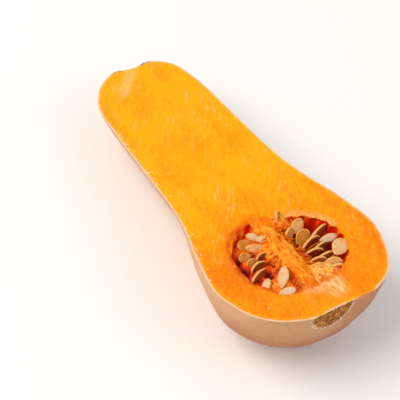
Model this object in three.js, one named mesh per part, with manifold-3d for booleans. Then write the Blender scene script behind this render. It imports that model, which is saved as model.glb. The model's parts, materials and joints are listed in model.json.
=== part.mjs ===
// Half a butternut squash, cut lengthwise through its seed cavity and lying on its rounded back, cut face up.
// The flesh, its rind and the pulp between the two seed chambers grew as one piece. In each chamber the
// seeds hang together on the strings that they grew on.
import * as THREE from "three";
import { mergeVertices } from "three/addons/utils/BufferGeometryUtils.js";
import Module from "manifold-3d";

const wasm = await Module();
wasm.setup();

// The fruit frame, in millimetres: the origin is the middle of the cut face, +X runs along the fruit's axis
// to the blossom end, +Y to the right-hand chamber and +Z out of the cut face.
const LENGTH = 250;
const HALF_LENGTH = LENGTH / 2;
const NECK_RADIUS = 41.6;
const BULB_RADIUS = 59.3;
const BULB_AT = 77;
const BACK_DEPTH = 1.05; // the cut runs a little off the middle, so the back is deeper than half the width
// The neck bends slightly to one side, and its tip comes back.
const NECK_DRIFT = { from: 50, to: -25, shift: -2.5 };
const TIP_DRIFT = { from: -92, to: -HALF_LENGTH, shift: 4 };
// Under the cut the neck's sides lean in, at most by this share of their distance from the middle.
const NECK_LEAN = { from: 50, to: 5, shift: 0.155 };
const STEM_SCAR_RADIUS = 11;
const STEM_SCAR_DEPTH = 1.8;
const BLOSSOM_SCAR_RADIUS = 14;
const BLOSSOM_SCAR_DEPTH = 1.6;
const BLOSSOM_SLANT = { from: 95, to: HALF_LENGTH, shift: 2.4 }; // one side of that end stands past the other
const RIBS = { count: 10, height: 0.45, from: 10, to: 95, fadeRadius: 20 };
const FLAT_SPOT = 0.6; // height worn off where the bulb and the neck touch the table

const CHAMBER_DEPTH = 25;
const RIGHT_CHAMBER = { x: 74.5, y: 5, length: 27.5, width: 32.2, side: 1, pockets: 2.3 };
const LEFT_CHAMBER = { x: 71.5, y: -9, length: 30, width: 28.5, side: -1, pockets: 1 };
const POCKET_COUNT = 24; // seed pockets in a full turn of a chamber's wall
const POCKET_MEAN = 0.7; // the part of a pocket's depth that leaves the chamber's size as it is
// The ridge of pulp between the chambers gets wider by its flare for each millimetre down.
const PULP = { right: 4, left: -9.5, from: 32, to: 112, depth: 38, flare: 0.3, wave: 0.7, wavePitch: 15 };
const SADDLE = { x: 47.5, y: -5, length: 7, width: 9, depth: 2.2 };

const SEED_LENGTH = 15.5;
const SEED_WIDTH = 8.8;
const SEED_THICKNESS = 2.7;
const TIP_TAPER = 0.34;
const CORD_RADIUS = 1.9;
const STRING_RADIUS = 0.75;
const GAP = 0.35; // room between the seeds and the flesh that they lie in
const SUNK = 2.2; // how far a string's end goes into what it joins

// Seeds as they lie: place of the middle (x, y and depth under the cut), the way the tip points (heading
// from +X towards +Y, and dip below level), roll about the long axis, and length and width as shares of a
// full seed.
const RIGHT_SEEDS = [
  { x: 46.6, y: 9.3, depth: 2.5, heading: 57, dip: 75, roll: 12, long: 0.88, wide: 0.82 },
  { x: 55.9, y: 17.8, depth: 5, heading: -60, dip: 25, roll: -33, long: 0.72, wide: 0.92 },
  { x: 58.7, y: 9.5, depth: 5.5, heading: -60, dip: 25, roll: -55, long: 0.64, wide: 0.74 },
  { x: 63.9, y: 16.2, depth: 6.5, heading: -75, dip: 30, roll: -28, long: 0.74, wide: 1.0 },
  { x: 66.6, y: 26.7, depth: 5, heading: -74, dip: 3, roll: -82, long: 1.1, wide: 0.9 },
  { x: 70.6, y: 17.2, depth: 6, heading: -80, dip: 8, roll: -82, long: 1.0, wide: 0.92 },
  { x: 73.8, y: 29.5, depth: 5.5, heading: -97, dip: 12, roll: -66, long: 0.86, wide: 0.8 },
  { x: 83.9, y: 30.9, depth: 4, heading: -62, dip: 10, roll: -20, long: 0.88, wide: 1.2 },
  { x: 75.8, y: 22.1, depth: 6.5, heading: -90, dip: 8, roll: -78, long: 0.7, wide: 0.66 },
  { x: 78.4, y: 13.7, depth: 5.5, heading: -100, dip: 4, roll: -84, long: 0.9, wide: 0.8 },
  { x: 84.0, y: 20.7, depth: 6, heading: -102, dip: 5, roll: -80, long: 0.76, wide: 0.66 },
  { x: 90.5, y: 20.6, depth: 5, heading: -128, dip: 6, roll: -66, long: 0.7, wide: 0.7 },
  { x: 95.4, y: 19.0, depth: 4.5, heading: -112, dip: 3, roll: -80, long: 0.66, wide: 0.6 },
  { x: 84.9, y: 12.3, depth: 5, heading: -108, dip: 4, roll: -80, long: 0.72, wide: 0.6 },
];
const LEFT_SEEDS = [
  { x: 51.2, y: -12.3, depth: 4, heading: 50, dip: 5, roll: 52, long: 0.64, wide: 0.56 },
  { x: 51.8, y: -19.9, depth: 6.5, heading: 84, dip: -5, roll: 22, long: 0.56, wide: 0.78 },
  { x: 58.7, y: -15.8, depth: 5, heading: 66, dip: 2, roll: 48, long: 0.86, wide: 0.64 },
  { x: 59.6, y: -24.5, depth: 8, heading: 82, dip: -10, roll: 40, long: 0.5, wide: 0.7 },
  { x: 65.6, y: -22.8, depth: 7.5, heading: 90, dip: -12, roll: 45, long: 0.5, wide: 0.68 },
  { x: 71.2, y: -22.5, depth: 6, heading: 98, dip: -2, roll: 76, long: 0.85, wide: 0.9 },
  { x: 77.3, y: -25.9, depth: 6.5, heading: 110, dip: 0, roll: 76, long: 1.0, wide: 0.95 },
  { x: 88.1, y: -16.9, depth: 1.8, heading: -40, dip: 2, roll: 30, long: 1.08, wide: 0.82 },
  { x: 86.5, y: -27.7, depth: 4.5, heading: -42, dip: 4, roll: 32, long: 0.72, wide: 0.66 },
  { x: 98.5, y: -21.7, depth: 0.8, heading: -100, dip: 2, roll: -20, long: 0.7, wide: 0.62 },
];
// The cord that the seeds grew on runs low along each side of the pulp ridge.
const RIGHT_CORD = [
  [52, 9, -9],
  [62, 8.5, -10],
  [74, 8.5, -10.5],
  [86, 9, -9.5],
  [94, 10, -8],
];
const LEFT_CORD = [
  [50, -15, -10],
  [60, -15, -11],
  [72, -15, -11.5],
  [84, -15.5, -10.5],
  [95, -17, -8],
];
// Strings of pulp stand out from both sides of the ridge and fan out from its middle.
const PULP_STRINGS = { count: 13, from: 53, to: 94, depth: 4, radius: 1.1, length: 9, drop: 3, fan: 0.25 };
const STRING_DRAW = 7;
const STRING_SIDES = 5;
const TABLE_BLOCK = 40;

const smooth = (from, to, value) => {
  const t = THREE.MathUtils.clamp((value - from) / (to - from), 0, 1);
  return t * t * (3 - 2 * t);
};

function deform(geometry, move) {
  const place = geometry.getAttribute("position");
  const point = new THREE.Vector3();
  for (let i = 0; i < place.count; i++) {
    point.fromBufferAttribute(place, i);
    move(point);
    place.setXYZ(i, point.x, point.y, point.z);
  }
  return geometry;
}

function solidOf(geometry) {
  geometry.deleteAttribute("normal");
  geometry.deleteAttribute("uv");
  const merged = mergeVertices(geometry, 1e-4);
  const corners = Array.from(merged.index.array);
  const faces = [];
  for (let i = 0; i < corners.length; i += 3) {
    const [a, b, c] = corners.slice(i, i + 3);
    if (a !== b && b !== c && c !== a) faces.push(a, b, c);
  }
  const mesh = new wasm.Mesh({
    numProp: 3,
    vertProperties: merged.attributes.position.array,
    triVerts: new Uint32Array(faces),
  });
  return new wasm.Manifold(mesh);
}

function meshOf(name, solid, material) {
  const { vertProperties, triVerts } = solid.getMesh();
  const geometry = new THREE.BufferGeometry();
  geometry.setAttribute("position", new THREE.BufferAttribute(vertProperties, 3));
  geometry.setIndex(new THREE.BufferAttribute(triVerts, 1));
  geometry.computeVertexNormals();
  const mesh = new THREE.Mesh(geometry, material);
  mesh.name = name;
  return mesh;
}

// Where the seeds' room cuts a string of pulp off, the loose scrap is dropped.
const largestBody = (solid) =>
  solid.decompose().reduce((best, body) => (body.volume() > best.volume() ? body : best));

// The fruit's outline from the stem scar to the blossom scar: distance along the axis, and radius.
const OUTLINE = [
  [-HALF_LENGTH + STEM_SCAR_DEPTH + 0.4, 0],
  [-HALF_LENGTH + STEM_SCAR_DEPTH, STEM_SCAR_RADIUS * 0.6],
  [-HALF_LENGTH + 0.3, STEM_SCAR_RADIUS],
  [-HALF_LENGTH + 0.9, 15],
  [-HALF_LENGTH + 4.5, 22.5],
  [-HALF_LENGTH + 12, 30.6],
  [-HALF_LENGTH + 24, 36.6],
  [-85, NECK_RADIUS - 1.7],
  [-50, NECK_RADIUS],
  [-15, NECK_RADIUS + 1.4],
  [10, NECK_RADIUS + 3.4],
  [30, NECK_RADIUS + 7.6],
  [50, BULB_RADIUS - 4.6],
  [BULB_AT, BULB_RADIUS],
  [95, BULB_RADIUS - 4.3],
  [108, BULB_RADIUS - 11.5],
  [116.5, BULB_RADIUS - 21],
  [HALF_LENGTH - 3.6, 27.5],
  [HALF_LENGTH - 1.1, 19],
  [HALF_LENGTH - 0.6, BLOSSOM_SCAR_RADIUS],
  [HALF_LENGTH - BLOSSOM_SCAR_DEPTH, BLOSSOM_SCAR_RADIUS * 0.72],
  [HALF_LENGTH - BLOSSOM_SCAR_DEPTH - 0.5, 0],
];

const eased = ({ from, to, shift }, x) => shift * smooth(from, to, x);

function wholeFruit() {
  const curve = new THREE.SplineCurve(OUTLINE.map(([along, radius]) => new THREE.Vector2(radius, along)));
  const profile = curve.getPoints(2 * (OUTLINE.length - 1));
  profile[0].x = 0;
  profile[profile.length - 1].x = 0;
  const turned = new THREE.LatheGeometry(profile, 48).rotateZ(-Math.PI / 2);
  return solidOf(
    deform(turned, (p) => {
      const around = Math.atan2(p.z, p.y);
      const radius = Math.hypot(p.y, p.z);
      const rib = RIBS.height * Math.cos(RIBS.count * around) * smooth(RIBS.from, RIBS.to, p.x);
      const grown = 1 + rib / Math.max(radius, RIBS.fadeRadius);
      const slanting = (2 * Math.abs(p.y) * Math.max(0, -p.z)) / Math.max(radius * radius, 1);
      const narrowed = 1 - eased(NECK_LEAN, p.x) * slanting;
      p.x += eased(BLOSSOM_SLANT, p.x) * (p.y / BULB_RADIUS);
      p.y = p.y * grown * narrowed + eased(NECK_DRIFT, p.x) + eased(TIP_DRIFT, p.x);
      p.z = p.z * grown * BACK_DEPTH;
    }),
  );
}

const boxAt = (size, centre) => new THREE.BoxGeometry(...size).translate(...centre);

// Where a side of the ridge of pulp stands, at a place along it and a depth.
function pulpEdge(side, x, depth) {
  const edge = side > 0 ? PULP.right : PULP.left;
  const wave = PULP.wave * Math.sin((2 * Math.PI * x) / PULP.wavePitch + side);
  return edge + side * (PULP.flare * depth + wave);
}

function pulpRidge() {
  const long = PULP.to - PULP.from;
  const box = new THREE.BoxGeometry(long, 2, PULP.depth, 20, 1, 5);
  box.translate(PULP.from + long / 2, 0, 2 - PULP.depth / 2);
  return solidOf(
    deform(box, (p) => {
      p.y = pulpEdge(Math.sign(p.y), p.x, Math.max(0, -p.z));
    }),
  );
}

function chamber({ x, y, length, width, side, pockets }) {
  const ball = new THREE.SphereGeometry(1, 4 * POCKET_COUNT, 14).rotateX(Math.PI / 2);
  return solidOf(
    deform(ball, (p) => {
      const around = Math.atan2(side * p.y, p.x);
      const outer = smooth(-0.25, 0.35, side * p.y);
      const flute = Math.abs(Math.sin((POCKET_COUNT * around) / 2)) - POCKET_MEAN;
      const upright = Math.sqrt(Math.max(0, 1 - p.z * p.z));
      const swell = pockets * flute * outer * upright;
      p.x = x + p.x * (length + swell);
      p.y = y + p.y * (width + swell);
      p.z *= CHAMBER_DEPTH;
    }),
  );
}

function saddle() {
  const ball = new THREE.SphereGeometry(1, 20, 12);
  ball.scale(SADDLE.length, SADDLE.width, SADDLE.depth).translate(SADDLE.x, SADDLE.y, 0);
  return solidOf(ball);
}

// A thin string between two points.
function string(from, to, radius) {
  const way = new THREE.Vector3().subVectors(to, from);
  const height = way.length();
  const rod = new THREE.CylinderGeometry(radius * 0.8, radius, height, STRING_SIDES);
  const turn = new THREE.Quaternion().setFromUnitVectors(new THREE.Vector3(0, 1, 0), way.clone().normalize());
  rod.applyQuaternion(turn).translate(...from.clone().addScaledVector(way, 0.5).toArray());
  return solidOf(rod);
}

function cord(points, grow) {
  const path = new THREE.CatmullRomCurve3(points.map((p) => new THREE.Vector3(...p)));
  const section = new THREE.Shape().absarc(0, 0, CORD_RADIUS + grow, 0, 2 * Math.PI);
  const tube = new THREE.ExtrudeGeometry(section, {
    curveSegments: 3,
    steps: 8,
    bevelEnabled: false,
    extrudePath: path,
  });
  const ends = [points[0], points[points.length - 1]].map((p) =>
    solidOf(new THREE.SphereGeometry(CORD_RADIUS + grow, 8, 6).rotateX(0.3).translate(...p)),
  );
  return { path, solid: ends.reduce((made, end) => made.add(end), solidOf(tube)) };
}

function seedAxes({ heading, dip, roll }) {
  const [turn, down, spin] = [heading, dip, roll].map(THREE.MathUtils.degToRad);
  const level = Math.cos(down);
  const tip = new THREE.Vector3(Math.cos(turn) * level, Math.sin(turn) * level, -Math.sin(down));
  const flat = new THREE.Vector3(-Math.sin(turn), Math.cos(turn), 0);
  const raised = new THREE.Vector3().crossVectors(tip, flat);
  const across = flat.multiplyScalar(Math.cos(spin)).addScaledVector(raised, Math.sin(spin));
  return { tip, across, face: new THREE.Vector3().crossVectors(tip, across) };
}

function seed(place, grow) {
  const { tip, across, face } = seedAxes(place);
  const long = (SEED_LENGTH * place.long) / 2 + grow;
  const wide = (SEED_WIDTH * place.wide) / 2 + grow;
  const thick = SEED_THICKNESS / 2 + grow;
  const ball = deform(new THREE.SphereGeometry(1, 8, 6).rotateZ(-Math.PI / 2), (p) => {
    p.y *= wide * (1 - TIP_TAPER * Math.max(0, p.x));
    p.x *= long;
    p.z *= thick;
  });
  const stand = new THREE.Matrix4().makeBasis(tip, across, face).setPosition(place.x, place.y, -place.depth);
  return solidOf(ball.applyMatrix4(stand));
}

// The string runs from inside the seed's tip to the nearest point of the cord.
function seedString(place, path, grow) {
  const { tip } = seedAxes(place);
  const reach = (SEED_LENGTH * place.long) / 2 - SUNK;
  const start = new THREE.Vector3(place.x, place.y, -place.depth).addScaledVector(tip, reach);
  const end = path
    .getPoints(60)
    .reduce((near, p) => (p.distanceTo(start) < near.distanceTo(start) ? p : near));
  return string(start, end, STRING_RADIUS + grow);
}

function seedCluster(seeds, cordPoints, grow = 0) {
  const { path, solid } = cord(cordPoints, grow);
  return seeds.reduce(
    (made, place) => made.add(seed(place, grow)).add(seedString(place, path, grow)),
    solid,
  );
}

// A repeatable draw between -1 and 1.
function drawer(start) {
  let state = start;
  return () => {
    state = (state * 16807) % 2147483647;
    return (2 * state) / 2147483647 - 1;
  };
}

function pulpStrings() {
  const { count, from, to, depth, radius, length, drop, fan } = PULP_STRINGS;
  const middle = (from + to) / 2;
  const draw = drawer(STRING_DRAW);
  const made = [];
  for (const side of [1, -1]) {
    for (let i = 0; i < count; i++) {
      const x = from + ((to - from) * (i + 0.5)) / count + draw();
      const down = depth + 2 * draw();
      const root = new THREE.Vector3(x, pulpEdge(side, x, down) - side * SUNK, -down);
      const spread = [(x - middle) * fan, side * length, -drop].map((v) => v + 2 * draw());
      const lean = new THREE.Vector3(...spread);
      made.push(string(root, root.clone().add(lean), radius));
    }
  }
  return made;
}

function halfFruit() {
  const under = solidOf(boxAt([LENGTH * 1.2, LENGTH, LENGTH], [0, 0, -LENGTH / 2]));
  return wholeFruit().intersect(under);
}

const cornersOf = (solid) => {
  const { vertProperties } = solid.getMesh();
  return Array.from({ length: vertProperties.length / 3 }, (_, i) =>
    new THREE.Vector3().fromArray(vertProperties, 3 * i),
  );
};

// The tilt at which the bulb and the neck touch a table together.
function restingTilt(solid) {
  const corners = cornersOf(solid);
  const neck = corners.filter((p) => p.x < 0);
  const bulb = corners.filter((p) => p.x > 0);
  let tilt = 0;
  for (let round = 0; round < 4; round++) {
    const height = (p) => p.x * Math.sin(tilt) + p.z * Math.cos(tilt);
    const lowest = (points) => points.reduce((low, p) => (height(p) < height(low) ? p : low));
    const [a, b] = [lowest(neck), lowest(bulb)];
    tilt = Math.atan2(a.z - b.z, b.x - a.x);
  }
  return tilt;
}

// A block that reaches up to just above the lowest points of the resting fruit.
function tableBlock(solid, turn) {
  const lowest = Math.min(...cornersOf(solid).map((p) => p.applyMatrix4(turn).z));
  const block = boxAt([LENGTH * 1.4, LENGTH, TABLE_BLOCK], [0, 0, lowest + FLAT_SPOT - TABLE_BLOCK / 2]);
  return solidOf(block.applyMatrix4(turn.clone().invert()));
}

function fleshAndRind(half, turn) {
  const chambers = chamber(RIGHT_CHAMBER).add(chamber(LEFT_CHAMBER)).subtract(pulpRidge());
  let made = half.subtract(tableBlock(half, turn)).subtract(chambers).subtract(saddle());
  made = pulpStrings().reduce((sum, piece) => sum.add(piece), made);
  made = made.subtract(seedCluster(RIGHT_SEEDS, RIGHT_CORD, GAP));
  made = made.subtract(seedCluster(LEFT_SEEDS, LEFT_CORD, GAP));
  return largestBody(made);
}

const flesh = new THREE.MeshStandardMaterial({ color: "#f79a12", roughness: 0.55, metalness: 0 });
const seedCoat = new THREE.MeshStandardMaterial({ color: "#d8b27a", roughness: 0.45, metalness: 0 });

const half = halfFruit();
const restTurn = new THREE.Matrix4().makeRotationY(-restingTilt(half));

const lying = new THREE.Group();
lying.applyMatrix4(restTurn);
lying.add(meshOf("flesh_and_rind", fleshAndRind(half, restTurn), flesh));
lying.add(meshOf("right_seed_cluster", seedCluster(RIGHT_SEEDS, RIGHT_CORD), seedCoat));
lying.add(meshOf("left_seed_cluster", seedCluster(LEFT_SEEDS, LEFT_CORD), seedCoat));

// The part's origin is on the table, under the middle of the fruit.
const squash = new THREE.Group();
squash.add(lying);
squash.updateMatrixWorld(true);
const bounds = new THREE.Box3().setFromObject(squash, true);
const centre = bounds.getCenter(new THREE.Vector3());
lying.position.set(-centre.x, -centre.y, -bounds.min.z);

export default squash;
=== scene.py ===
import json
import math
from types import SimpleNamespace

import bpy
import numpy as np
from bpy.props import FloatProperty, FloatVectorProperty, IntProperty, PointerProperty
from mathutils import Matrix, Vector, noise


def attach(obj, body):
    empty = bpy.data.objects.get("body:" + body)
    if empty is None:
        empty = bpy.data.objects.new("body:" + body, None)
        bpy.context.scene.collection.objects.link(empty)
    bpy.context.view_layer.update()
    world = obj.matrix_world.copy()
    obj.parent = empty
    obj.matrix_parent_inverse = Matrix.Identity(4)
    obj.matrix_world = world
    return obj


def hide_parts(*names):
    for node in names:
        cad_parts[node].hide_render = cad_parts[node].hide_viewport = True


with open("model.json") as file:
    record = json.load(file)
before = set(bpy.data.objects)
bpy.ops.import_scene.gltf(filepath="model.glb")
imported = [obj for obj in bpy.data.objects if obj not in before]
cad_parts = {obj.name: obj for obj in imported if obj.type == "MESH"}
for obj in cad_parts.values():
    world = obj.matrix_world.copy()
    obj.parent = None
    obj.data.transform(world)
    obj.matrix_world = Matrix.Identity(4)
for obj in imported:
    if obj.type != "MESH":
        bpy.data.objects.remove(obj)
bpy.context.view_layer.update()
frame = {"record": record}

bl_info = {
    "name": "Butternut Squash Half",
    "version": (1, 0, 0),
    "blender": (4, 5, 0),
    "location": "View3D > Sidebar > Squash",
    "description": "Dresses the half squash with rind, flesh, pulp and seeds",
    "category": "Object",
}

MM = 0.001

# The fruit frame is the CAD source's: millimetres from the middle of the cut face, +X to the blossom end,
# +Y to the right-hand chamber, +Z out of the cut face. The cut face's mount tells how the fruit lies.
CUT_MOUNT_AT = (-40.0, -2.5, 0.0)
HALF_LENGTH = 125.0
NECK_RADIUS = 41.6
BULB_RADIUS = 59.3
BACK_DEPTH = 1.05
# Each of these grows from nothing at the first place along the fruit to its full size at the second.
NECK_DRIFT = (50.0, -25.0, -2.5)
TIP_DRIFT = (-92.0, -HALF_LENGTH, 4.0)
BLOSSOM_SLANT = (95.0, HALF_LENGTH, 2.4)
NECK_LEAN = (50.0, 5.0, 0.155)
STEM_SCAR_RADIUS = 11.0
BLOSSOM_SCAR_RADIUS = 14.0
BLOSSOM_SCAR_Y = -6.5
OUTLINE = [
    (-122.8, 0), (-123.2, 6.6), (-124.7, STEM_SCAR_RADIUS), (-124.1, 15), (-120.5, 22.5), (-113, 30.6),
    (-101, 36.6), (-85, 39.9), (-50, NECK_RADIUS), (-15, 43), (10, 45), (30, 49.2), (50, 54.7),
    (77, BULB_RADIUS), (95, 55), (108, 47.8), (116.5, 38.3), (121.4, 27.5), (123.9, 19),
    (124.4, BLOSSOM_SCAR_RADIUS), (123.4, 10.1), (122.9, 0),
]
RIB_COUNT = 10
RIBS_FROM, RIBS_TO, RIB_FADE_RADIUS = 10.0, 95.0, 20.0

CHAMBER_DEPTH = 25.0
# Hollows lie between these places along the fruit, and at least this far inside the rind.
CHAMBERS_FROM, CHAMBERS_TO, CHAMBER_SKIN = 35, 112, 4.5
# Left of this the left-hand chamber's looks hold, right of it the right-hand one's.
SIDES_MEET = -3
RIGHT_CHAMBER = {"x": 74.5, "y": 5.0, "length": 27.5, "width": 32.2, "side": 1, "pockets": 2.3}
LEFT_CHAMBER = {"x": 71.5, "y": -9.0, "length": 30.0, "width": 28.5, "side": -1, "pockets": 0.5}
POCKET_COUNT = 24
POCKET_MEAN = 0.7
PULP_RIGHT, PULP_LEFT = 4.0, -9.5
PULP_FROM, PULP_TO, PULP_DEPTH = 32.0, 112.0, 38.0
PULP_FLARE, PULP_WAVE, PULP_WAVE_PITCH = 0.3, 0.7, 15.0
PULP_ABOVE_CUT = 2
SEPTUM_FROM, SEPTUM_TO, SEPTUM_SKIN = 40, 104, 2.8
SADDLE_AT, SADDLE_SIZE = (47.5, -5.0), (7.0, 9.0, 2.2)

# Torn peach flesh past the chambers: its strength, then middle, half sizes and the shares where it fades.
TORN_SPOTS = [
    (1.0, (107, 5.5), (12.5, 9.5), (1.1, 0.4)),
    (0.55, (101, -3), (9.5, 14), (1.15, 0.5)),
]
# The pale band at the stem end runs from this place by this much.
STEM_BAND_AT, STEM_BAND_WAY = (-122, 1), (21, -19)
STEM_CORK_TO, BLOSSOM_CORK_FROM = -118, 112

SEED_LENGTH = 15.5
# Height of a seed's faces beside the bead, as a share of its full height.
SEED_EDGE = 0.42
# A seed bends out of its middle plane by this times the square of the distance along it, in metres.
SEED_BEND = 9.0
# Seeds as they lie: x, y and depth of the middle, heading, dip and roll in degrees, length and width as
# shares of a full seed, then how bleached (0 olive tan, 1 white) and how red each one is, with pulp juice
# and painted shade.
RIGHT_SEEDS = [
    (46.6, 9.3, 2.5, 57, 75, 12, 0.88, 0.82, 0.25, 0.2),
    (55.9, 17.8, 5, -60, 25, -33, 0.72, 0.92, 0.5, 0.0),
    (58.7, 9.5, 5.5, -60, 25, -55, 0.64, 0.74, 0.3, 0.1),
    (63.9, 16.2, 6.5, -75, 30, -28, 0.74, 1.0, 0.12, 0.0),
    (66.6, 26.7, 5, -74, 3, -82, 1.1, 0.9, 0.4, 0.85),
    (70.6, 17.2, 6, -80, 8, -82, 1.0, 0.92, 0.4, 0.95),
    (73.4, 29.3, 5.0, -101, 4, -42, 0.8, 0.62, 0.95, 0.0),
    (85.0, 28.1, 1.5, -62, 8, -16, 0.84, 1.16, 0.7, 0.0),
    (75.8, 22.1, 6.5, -90, 8, -78, 0.7, 0.66, 0.45, 0.75),
    (78.4, 13.7, 5.5, -100, 4, -84, 0.9, 0.8, 0.35, 0.95),
    (84.0, 20.7, 6, -102, 5, -80, 0.76, 0.66, 0.4, 0.7),
    (90.5, 20.6, 5, -128, 6, -66, 0.7, 0.7, 0.6, 0.1),
    (95.4, 19.0, 4.5, -112, 3, -80, 0.66, 0.6, 0.5, 0.1),
    (84.9, 12.3, 5, -108, 4, -80, 0.72, 0.6, 0.35, 0.8),
]
LEFT_SEEDS = [
    (51.2, -12.3, 4, 50, 5, 52, 0.64, 0.56, 0.9, 0.0),
    (52.8, -20.9, 5.0, 84, -5, 22, 0.56, 0.78, 0.1, 0.0),
    (58.7, -15.8, 5, 66, 2, 48, 0.86, 0.64, 0.55, 0.0),
    (61.2, -26.1, 5.5, 82, -10, 40, 0.5, 0.7, 0.15, 0.05),
    (66.9, -24.1, 5.5, 90, -12, 45, 0.5, 0.68, 0.2, 0.1),
    (71.2, -22.5, 6, 98, -2, 76, 0.85, 0.9, 0.35, 0.85),
    (77.3, -25.9, 6.5, 110, 0, 76, 1.0, 0.95, 0.35, 0.8),
    (88.1, -16.9, 1.8, -40, 2, 30, 1.08, 0.82, 0.8, 0.0),
    (86.5, -27.7, 4.5, -42, 4, 32, 0.72, 0.66, 0.8, 0.0),
    (98.5, -21.7, 0.8, -100, 2, -20, 0.7, 0.62, 0.95, 0.0),
    (56.3, -9.4, 2.4, 70, 6, 36, 0.62, 0.52, 0.9, 0.0),
    (66.0, -15.9, 5.2, 92, 8, 64, 0.7, 0.6, 0.3, 0.9),
]
RIGHT_CORD = [(52, 9, -9), (62, 8.5, -10), (74, 8.5, -10.5), (86, 9, -9.5), (94, 10, -8)]
LEFT_CORD = [(50, -15, -10), (60, -15, -11), (72, -15, -11.5), (84, -15.5, -10.5), (95, -17, -8)]
CORD_RADIUS, SEED_STRING_RADIUS = 1.9, 0.75
# Masses of pulp: place of the middle, half sizes, how pale, how dry, and how full towards the ends.
SEPTUM_AT, SEPTUM_SIZE, SEPTUM_FULL = (74.0, -4.6, -6.0), (31.0, 9.3, 5.6), 2.6
PULP_BEDS = {
    "septum_ridge": (SEPTUM_AT, SEPTUM_SIZE, 0.62, 0.0, SEPTUM_FULL),
    "left_pulp_slope": ((70.0, -12.0, -11.0), (27.0, 8.5, 6.0), -0.12, 0.0, 3.0),
    "left_pulp_bed": ((70.5, -23.0, -12.8), (28.5, 16.0, 6.8), -0.3, 0.0, 2.8),
    "right_pulp_bed": ((71.0, 17.0, -18.5), (26.0, 15.0, 7.0), -0.3, 0.0, 2.6),
    "right_pulp_slope": ((84.0, 5.5, -9.8), (12.0, 7.0, 5.2), -0.1, 0.0, 2.4),
    "right_stem_pulp": ((47.0, 10.5, -8.6), (9.0, 8.5, 7.0), 0.1, 0.0, 2.4),
    "right_blossom_pulp": ((97.0, 7.5, -7.0), (12.0, 13.0, 5.4), 0.65, 0.8, 2.2),
    "left_blossom_pulp": ((94.0, -19.0, -7.6), (10.5, 11.0, 5.6), 0.0, 0.1, 2.2),
}
# Gaps in the pulp of the left-hand chamber: x, y and radius.
PULP_GAPS = [
    (79.2, -20.0, 3.6), (88.4, -10.0, 2.6), (70.0, -31.5, 3.0), (60.5, -30.0, 2.5), (73.5, -12.5, 2.2)
]

# The photograph's camera in the fruit frame, found from the outline of the cut face.
CAMERA_AT = (381.6, -310.6, 471.6)
CAMERA_RIGHT = (0.53886, 0.83846, 0.08134)
CAMERA_UP = (-0.63084, 0.33765, 0.69859)
CAMERA_LENS = 94.65
SENSOR_WIDTH = 36.0

# Lights, in metres from the middle of the table.
LIT_PLACE, KEY_AT, FILL_AT, LAMP_SIZE = (0.0, 0.0, 0.03), (-0.9, -1.9, 2.4), (2.0, 1.4, 2.2), 2.4

WHITE = (1.0, 1.0, 1.0, 1.0)

SEGMENTS, RINGS = 200, 264
OUTLINE_STEPS = 420
# Points above this height are on the cut face; a distance to its edge is not asked for below it.
CUT_FROM, FAR_FROM_RIM = -0.02, 60.0
# Added to the distance from the other side's mouth, so that it never is the nearer one.
OTHER_SIDE = 40
# A face this near the cut that looks up this much is flesh, however torn it is.
TORN_DEPTH, LOOKS_UP = 3.4, 0.75
CORK_PLATE = 4.0 * MM
KNIFE_HEADING = -33.0
MOUTH_LIP = 1.3
# Towards both ends the middles of the cut face's rows stay back, so that the rows end at the fruit's tips.
ROWS_BEND_FROM, STEM_ROW_STEP, BLOSSOM_ROW_STEP = 60, 0.449, 0.413
# How far the points across the cut face are evenly spaced; for the rest they crowd at its edges.
EVEN_SHARE = 0.72
STRING_SIDES, STRING_STEPS, STRING_TAPER = 5, 6, 0.75
# Crumbs lie along this stretch of the near edge, and one in so many lies somewhere on the face.
CRUMBS_FROM, CRUMBS_TO, FACE_CRUMB_EVERY = -70, 75, 8
PULP_DRAW, CRUMB_DRAW = 24, 7


def linear(code):
    """A six-digit sRGB hex colour as linear RGBA."""
    parts = [int(code[i : i + 2], 16) / 255 for i in (0, 2, 4)]
    return [c / 12.92 if c <= 0.04045 else ((c + 0.055) / 1.055) ** 2.4 for c in parts] + [1.0]


def colour(label, about, code):
    """A colour property whose default is an sRGB hex colour."""
    return FloatVectorProperty(
        name=label, description=about, subtype="COLOR", size=4, min=0.0, max=1.0, default=linear(code)
    )


def length(label, about, millimetres):
    """A length property whose default is given in millimetres."""
    return FloatProperty(
        name=label, description=about, unit="LENGTH", min=0.0, default=millimetres * MM, precision=5
    )


def amount(label, about, number):
    """A property that counts pieces."""
    return IntProperty(name=label, description=about, min=0, max=1200, default=number)


def power(label, about, watts):
    """A lamp's power, in watts."""
    return FloatProperty(name=label, description=about, unit="POWER", min=0.0, default=watts)


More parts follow.
